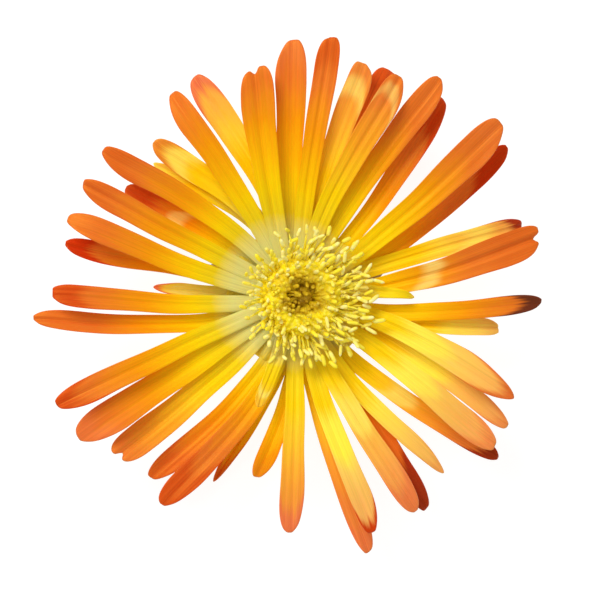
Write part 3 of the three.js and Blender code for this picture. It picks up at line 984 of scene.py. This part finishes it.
class BLOOM_PG_stamens(PropertyGroup):
    extra: IntProperty(
        name="Extra", description="Stamens between those of the frame", default=240, min=0)
    filament_radius: a_length("Filament radius", "At the middle of a filament", 0.13 * MM)
    anther_radius: a_length("Anther radius", "Across both lobes", 0.17 * MM)
    anther_length: a_length("Anther length", "Of a typical anther", 1.05 * MM)
    filament: a_colour("Filament", "Colour of the filaments", "ffe610")
    amber: a_colour("Amber", "Colour that some filaments lean to", "ffd406")
    # Painted shade, at the roots of the filaments and over the pad
    shade: a_colour("Shade", "Colour of the filaments at the root and of the pad", "f2cc0c")
    # Painted shade: the olive of the tuft's sunken middle and of the gaps between the core's grains
    hollow_shade: a_colour("Hollow", "Of whatever stands in the sunken middle", "cca608")
    anther: a_colour("Anther", "Colour of the anthers", "ffea50")
    pollen: a_colour("Pollen", "Palest spots of the anthers", "fff4a0")


class BLOOM_PG_pistil(PropertyGroup):
    olive: a_colour("Olive", "Colour of the dome", "dcb614")
    # Painted shade in darker streaks over the pistil
    umber: a_colour("Umber", "Of the furrows between the stigmas", "b4860c")
    bronze: a_colour("Bronze", "Colour of the stigmas", "deb824")
    # Painted highlight on the warts
    glint: a_colour("Glint", "Colour of the warts", "e8d048")


class BLOOM_PG_calyx(PropertyGroup):
    voxel: a_length("Voxel", "Grain at which cup and sepals are grown together", 0.13 * MM)
    bumps: a_length("Bumps", "Height of the soft unevenness of the skin", 0.08 * MM)
    skin: a_colour("Skin", "Main green", "6f8f3c")
    young: a_colour("Young skin", "Paler green", "a3b35c")
    bladder: a_colour("Bladders", "Tops of the glistening cells", "c9d398")
    flush: a_colour("Flush", "Red of the sepals' tips", "9c5a38")
    scar: a_colour("Scar", "Where the stalk was", "b59a62")
    pith: a_colour("Pith", "Pale spots of the scar", "ded0a0")


class BLOOM_PG_stage(PropertyGroup):
    floor: a_length("Floor", "Side of the floor", 3.0)
    board: a_colour("Board", "Colour of the floor", (0.26, 0.26, 0.26))
    board_shade: a_colour("Board shade", "Its slightly darker fibres", (0.24, 0.24, 0.24))
    sky: FloatProperty(
        name="Sky", description="Strength of the even light all round", default=0.58, min=0)
    glow: FloatProperty(
        name="Glow", description="Light that the floor gives off itself", default=0.85, min=0)
    key: FloatProperty(
        name="Key", description="Power of the large lamp", default=3.15, unit="POWER", min=0)
    key_heading: an_angle("Key heading", "Where the large lamp stands", 132)
    key_height: an_angle("Key elevation", "How high the large lamp stands", 51)
    key_distance: a_length("Key distance", "From the bloom to the large lamp", 0.7)
    key_size: a_length("Key size", "Side of the large lamp", 0.3)
    camera_distance: a_length("Camera distance", "From the middle of the bloom", 0.42)
    camera_tilt: an_angle("Camera tilt", "From straight above, towards the left", 6)
    lens: FloatProperty(
        name="Lens", description="Focal length in millimetres", default=252.0, min=1)


class BLOOM_OT_stage(Operator):
    """Lays the floor, hangs the light and sets the camera"""
    bl_idname = "bloom.stage"
    bl_label = "Stage"

    def execute(self, context):
        sizes = context.scene.bloom_stage
        bm = bmesh.new()
        bmesh.ops.create_grid(bm, x_segments=2, y_segments=2, size=sizes.floor / 2)
        bmesh.ops.translate(bm, verts=bm.verts, vec=(0, 0, -FLOOR_DROP * MM))
        finished(bm, "floor", floor_finish(sizes))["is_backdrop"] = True

        world = bpy.data.worlds.new("even_light")
        world.use_nodes = True
        sky = world.node_tree.nodes["Background"].inputs
        sky["Color"].default_value = (1, 1, 1, 1)
        sky["Strength"].default_value = sizes.sky
        context.scene.world = world

        lamp = bpy.data.lights.new("key", "AREA")
        lamp.energy = sizes.key
        lamp.size = sizes.key_size
        key = bpy.data.objects.new("key", lamp)
        flat = sizes.key_distance * math.cos(sizes.key_height)
        key.location = (
            flat * math.cos(sizes.key_heading),
            flat * math.sin(sizes.key_heading),
            sizes.key_distance * math.sin(sizes.key_height),
        )
        key.rotation_euler = (-key.location).to_track_quat("-Z", "Y").to_euler()
        context.scene.collection.objects.link(key)

        view = bpy.data.cameras.new("camera")
        view.lens = sizes.lens
        view.sensor_width = 36
        camera = bpy.data.objects.new("camera", view)
        away = Vector((-math.sin(sizes.camera_tilt), 0, math.cos(sizes.camera_tilt)))
        camera.location = Vector(AIM) * MM + away * sizes.camera_distance
        camera.rotation_euler = (0, -sizes.camera_tilt, 0)
        context.scene.collection.objects.link(camera)
        context.scene.camera = camera
        context.scene.view_settings.view_transform = "Standard"
        return {"FINISHED"}


class BLOOM_OT_calyx(Operator):
    """Grows the cup and its sepals together"""
    bl_idname = "bloom.calyx"
    bl_label = "Calyx"

    def execute(self, context):
        sizes = context.scene.bloom_calyx
        bm = bmesh.new()
        turned(bm, eased(CUP_PROFILE, 1), CUP_STEPS)
        for sepal in SEPALS:
            self.add_sepal(bm, sepal)
        bare = bpy.data.meshes.new("calyx_parts")
        bm.to_mesh(bare)
        bm.free()
        growing = bpy.data.objects.new("calyx_parts", bare)
        context.scene.collection.objects.link(growing)
        remesh = growing.modifiers.new("grow", "REMESH")
        remesh.mode = "VOXEL"
        remesh.voxel_size = sizes.voxel
        shaped = growing.evaluated_get(context.evaluated_depsgraph_get())
        bm = bmesh.new()
        bm.from_mesh(shaped.to_mesh())
        shaped.to_mesh_clear()
        bpy.data.objects.remove(growing)
        bpy.data.meshes.remove(bare)
        if not bm.verts:
            raise RuntimeError("the calyx has no surface")
        for _ in range(2):
            bmesh.ops.smooth_vert(bm, verts=bm.verts, factor=0.5, use_axis_x=True,
                                  use_axis_y=True, use_axis_z=True)
        bm.normal_update()
        for vert in bm.verts:
            swell = sum(lump_at(vert.co, share, size) for size, share in SWELLS)
            free = ease(*CUP_FREE, vert.co.z / MM)
            turn = heading_of(vert.co) - math.radians(SEPALS[0].heading)
            ridge = 1 + CUP_RIDGE * free * math.cos(len(SEPALS) * turn)
            vert.co.x *= ridge
            vert.co.y *= ridge
            vert.co += vert.normal * (sizes.bumps * swell * free)
            vert.co.z = mix(vert.co.z, 0.0, ease(*FOOT_FLAT, vert.co.z / MM))
        finished(bm, "calyx_fleshy", calyx_finish(sizes), "calyx")
        return {"FINISHED"}

    @staticmethod
    def add_sepal(bm, sepal):
        """A fleshy pointed lobe, flat above and keeled below, that spreads and droops."""
        root = place(sepal.heading, SEPAL_ROOT_RADIUS, SEPAL_ROOT_HEIGHT)
        bend = place(sepal.heading, mix(SEPAL_ROOT_RADIUS, sepal.reach, SEPAL_BEND), SEPAL_BEND_HEIGHT)
        tip = place(sepal.heading, sepal.reach, sepal.tip_height)
        across = UP.cross(place(sepal.heading, 1, 0)).normalized()

        def shape(u, v):
            share = math.sin(math.pi * v / 2)
            fullness = max(0.0, 1 - share ** SEPAL_TAPER[0]) ** SEPAL_TAPER[1]
            fullness *= min(1.0, v / SEPAL_OPENED)
            turn = 2 * math.pi * u
            side = math.cos(turn)
            rise = math.sin(turn)
            height = SEPAL_CREST * rise if rise > 0 else SEPAL_KEEL * rise
            point = bow(root, bend, tip, share)
            point += across * (-side * SEPAL_WIDTH / 2 * fullness * MM)
            return point + UP * (height * fullness * MM)

        verts = bent_grid(bm, SEPAL_FACES, shape)
        bmesh.ops.remove_doubles(bm, verts=verts, dist=TOUCHING)


class BLOOM_OT_petals(Operator):
    """Builds the petals, tier by tier"""
    bl_idname = "bloom.petals"
    bl_label = "Petals"

    def execute(self, context):
        sizes = context.scene.bloom_petals
        skin = petal_finish(sizes)
        for name, (low, high) in TIERS.items():
            bm = bmesh.new()
            bm.loops.layers.uv.new("skin")
            names = ("radius", "flush", "pale", "blush", "patch", "seed")
            for layer in names:
                bm.verts.layers.float.new(layer)
            layers = {layer: bm.verts.layers.float[layer] for layer in names}
            for index, petal in enumerate(PETALS):
                if low <= petal.level < high:
                    add_petal(bm, layers, petal, index, sizes)
            finished(bm, name, skin, "petals")
        return {"FINISHED"}


class BLOOM_OT_collar(Operator):
    """Turns the pale dish in which the petals are joined"""
    bl_idname = "bloom.collar"
    bl_label = "Collar"

    def execute(self, context):
        bm = bmesh.new()
        turned(bm, eased(COLLAR_PROFILE, closed=True), COLLAR_STEPS, closed=True)
        for vert in bm.verts:
            heading = heading_of(vert.co)
            stray = COLLAR_STRAY * noise.noise(round_axis(heading, COLLAR_STRAY_GRAIN, 0))
            ridge = COLLAR_RIDGE * math.cos(COLLAR_RIDGES * heading + stray)
            vert.co.z += ridge * ease(*COLLAR_RIDGED, radius_of(vert.co)) * MM
        finished(bm, "petal_collar", collar_finish(context.scene.bloom_petals), "petals")
        return {"FINISHED"}


class BLOOM_OT_stamens(Operator):
    """Plants the tuft: a pad, filaments and anthers"""
    bl_idname = "bloom.stamens"
    bl_label = "Stamens"

    def execute(self, context):
        sizes = context.scene.bloom_stamens
        filaments, anthers = bmesh.new(), bmesh.new()
        seeds = []
        for bm in (filaments, anthers):
            bm.loops.layers.uv.new("skin")
            seeds.append(bm.verts.layers.float.new("seed"))
        for index in range(CAD_STAMENS + sizes.extra):
            line = self.line(index, sizes)
            points = [line(station / FILAMENT_STEPS) for station in range(FILAMENT_STEPS + 1)]
            length = sum((stop - start).length for start, stop in zip(points, points[1:]))
            neck = 1 - INSIDE_ANTHER * sizes.anther_length / length
            thick = sizes.filament_radius / MM
            stalk = tube(
                filaments, FILAMENT_FACES, lambda share: line(share * neck),
                lambda u, v: 0 if v in (0, 1) else thick * mix(*FILAMENT_TAPER, v))
            for vert in stalk:
                vert[seeds[0]] = scatter(index, 12)
            golden = GOLDEN_LEFT * ease(*GOLDEN_FROM_RIGHT, line(1).x / MM)
            golden += GOLDEN_MIDDLE * ease(*GOLDEN_INWARDS, radius_of(line(1)))
            for vert in self.add_anther(anthers, line, neck, index, sizes):
                vert[seeds[1]] = scatter(index, 13) + golden
        for bm, name, finish_of in (
            (self.pad(), "stamen_pad", pad_finish),
            (self.core(), "stamen_core", core_finish),
            (filaments, "filaments", filament_finish),
            (anthers, "anthers", anther_finish),
        ):
            finished(bm, name, finish_of(sizes), "stamens")
        return {"FINISHED"}

    @staticmethod
    def line(index, sizes):
        """The line of a stamen: upright from the pad, then bending outwards."""
        heading = index * GOLDEN_ANGLE
        infill = index >= CAD_STAMENS
        if infill:
            outwards = (index - CAD_STAMENS + 0.5) / sizes.extra
            heading += INFILL_TURN
            heading += BUNCHING * outwards * math.sin(math.radians(BUNCHES * heading))
        else:
            outwards = (index + 0.5) / CAD_STAMENS
        root_radius = mix(*STAMEN_ROOTS, math.sqrt(outwards))
        inner = INFILL_SPREAD if infill else SPREAD[0]
        spread = mix(inner, SPREAD[1], outwards) + STRAY[infill] * (scatter(index, 3) - 0.5)
        rise = mix(*RISE, outwards) + RISE_STRAY * (scatter(index, 4) - 0.5)
        if infill:
            rise -= mix(*INFILL_LOWER, scatter(index, 20)) * (1 - outwards)
        sideways = TWIST * (scatter(index, 5) - 0.5)
        root = place(heading, root_radius, PAD_TOP - STAMEN_SUNK)
        bent_at = PAD_TOP + mix(*BEND_AT, outwards) * rise
        bend = place(heading, root_radius + BEND_SPREAD * spread, bent_at)
        tip = place(heading + sideways, root_radius + spread, PAD_TOP + rise)
        tip.x += TUFT_LEAN * MM
        return lambda share: bow(root, bend, tip, share)

    @staticmethod
    def add_anther(bm, line, neck, index, sizes):
        """Two pollen lobes side by side, tipped a little on the filament's end."""
        end = line(1)
        nodding = ease(*NODDING_RIGHT, end.x / MM) * ease(*NODDING_OUT, radius_of(end))
        forward = (end - line(0.96)).normalized().lerp(UP, mix(*UPRIGHT, nodding)).normalized()
        axis = [scatter(index, stream) - 0.5 for stream in (14, 15, 16)]
        axis[2] *= TURNED_BY
        forward = Quaternion(axis, math.radians(TIPPED_BY) * scatter(index, 17)) @ forward
        length = sizes.anther_length * mix(*LENGTHS, nodding) * mix(*LENGTH_STRAY, scatter(index, 18))
        start = line(neck) - forward * OVERLAP * length
        wide = sizes.anther_radius / MM * mix(*WIDTH_STRAY, scatter(index, 19))

        def radius(u, v):
            lobes = mix(LOBE_WAIST, 1, abs(math.sin(2 * math.pi * u)))
            return wide * lobes * max(0.0, 1 - abs(2 * v - 1) ** LOBE_TAPER[0]) ** LOBE_TAPER[1]

        return tube(bm, ANTHER_FACES, lambda share: start + forward * (share * length), radius)

    @staticmethod
    def pad():
        """The low ring in which the stamens are rooted."""
        bm = bmesh.new()
        bm.loops.layers.uv.new("skin")
        profile = [(PAD_INNER, PAD_BASE), (PAD_OUTER, PAD_BASE), (PAD_OUTER, PAD_TOP),
                   (PAD_INNER, PAD_TOP)]
        turned(bm, eased(profile, closed=True), PAD_STEPS, closed=True)
        return bm

    @staticmethod
    def core():
        """The short stamens of the middle, grown together into one rough ring."""
        bm = bmesh.new()
        turned(bm, eased(CORE_PROFILE, closed=True), CORE_STEPS, closed=True)
        bm.normal_update()
        for vert in bm.verts:
            height = vert.co.z / (CORE_FURROW[1] * MM)
            furrow = noise.noise(round_axis(heading_of(vert.co), CORE_FURROWS, height))
            relief = CORE_FURROW[0] * furrow + lump_at(vert.co, *CORE_LUMP)
            inside = ease(*CORE_RAGGED_IN, radius_of(vert.co))
            relief += inside * lump_at(vert.co, *CORE_RAGGED)
            vert.co += vert.normal * relief * MM
            vert.co.x += CORE_LEAN * (vert.co.z - PAD_TOP * MM)
        return bm


class BLOOM_OT_pistil(Operator):
    """Builds the low dome and its five stigmas"""
    bl_idname = "bloom.pistil"
    bl_label = "Pistil"

    def execute(self, context):
        bm = bmesh.new()
        bm.loops.layers.uv.new("skin")
        turned(bm, eased(STYLE_PROFILE), DOME_STEPS)
        bm.normal_update()
        for vert in bm.verts:
            vert.co += vert.normal * (lump_at(vert.co, *STYLE_LUMP) * MM)
            vert.co.x += CORE_LEAN * max(0.0, vert.co.z - PAD_TOP * MM)
        turned(bm, eased(DOME_PROFILE), DOME_STEPS)
        for index in range(STIGMAS):
            heading = STIGMA_HEADING + 360 / STIGMAS * index
            points = (
                place(heading, STIGMA_RADIUS, STIGMA_ROOT),
                place(heading, STIGMA_RADIUS, STIGMA_BEND),
                place(heading, STIGMA_SPREAD, STIGMA_TOP),
            )

            def radius(u, v):
                taper = mix(*STIGMA_TAPER, v ** 1.3)
                around, up = STIGMA_WARTS
                warts = 1 + STIGMA_WART * math.sin(up * v) * math.cos(2 * math.pi * around * u)
                return taper * warts * min(1.0, STIGMA_ENDS[1] * (1 - v)) * min(1.0, STIGMA_ENDS[0] * v)

            tube(bm, STIGMA_FACES, lambda share: bow(*points, share), radius)
        finished(bm, "pistil_moist", pistil_finish(context.scene.bloom_pistil), "pistil")
        return {"FINISHED"}


class BLOOM_PT_pieces(Panel):
    bl_label = "Ice plant bloom"
    bl_idname = "BLOOM_PT_pieces"
    bl_space_type = "VIEW_3D"
    bl_region_type = "UI"
    bl_category = "Bloom"

    def draw(self, context):
        for operator in OPERATORS:
            self.layout.operator(operator.bl_idname)


GROUPS = {
    "bloom_petals": BLOOM_PG_petals,
    "bloom_stamens": BLOOM_PG_stamens,
    "bloom_pistil": BLOOM_PG_pistil,
    "bloom_calyx": BLOOM_PG_calyx,
    "bloom_stage": BLOOM_PG_stage,
}
OPERATORS = (
    BLOOM_OT_stage,
    BLOOM_OT_calyx,
    BLOOM_OT_collar,
    BLOOM_OT_petals,
    BLOOM_OT_stamens,
    BLOOM_OT_pistil,
)


def register():
    for name, group in GROUPS.items():
        bpy.utils.register_class(group)
        setattr(bpy.types.Scene, name, PointerProperty(type=group))
    for kind in (*OPERATORS, BLOOM_PT_pieces):
        bpy.utils.register_class(kind)


def unregister():
    for kind in (BLOOM_PT_pieces, *reversed(OPERATORS)):
        bpy.utils.unregister_class(kind)
    for name, group in reversed(GROUPS.items()):
        delattr(bpy.types.Scene, name)
        bpy.utils.unregister_class(group)


def main():
    """Builds every piece in order."""
    register()
    bpy.ops.bloom.stage()
    bpy.ops.bloom.calyx()
    bpy.ops.bloom.collar()
    bpy.ops.bloom.petals()
    bpy.ops.bloom.stamens()
    bpy.ops.bloom.pistil()
    boxes = {"cad": CAD_BOX, "visual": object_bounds()}
    {name: [list(corner) for corner in box] for name, box in boxes.items()}


if __name__ == "__main__":
    main()
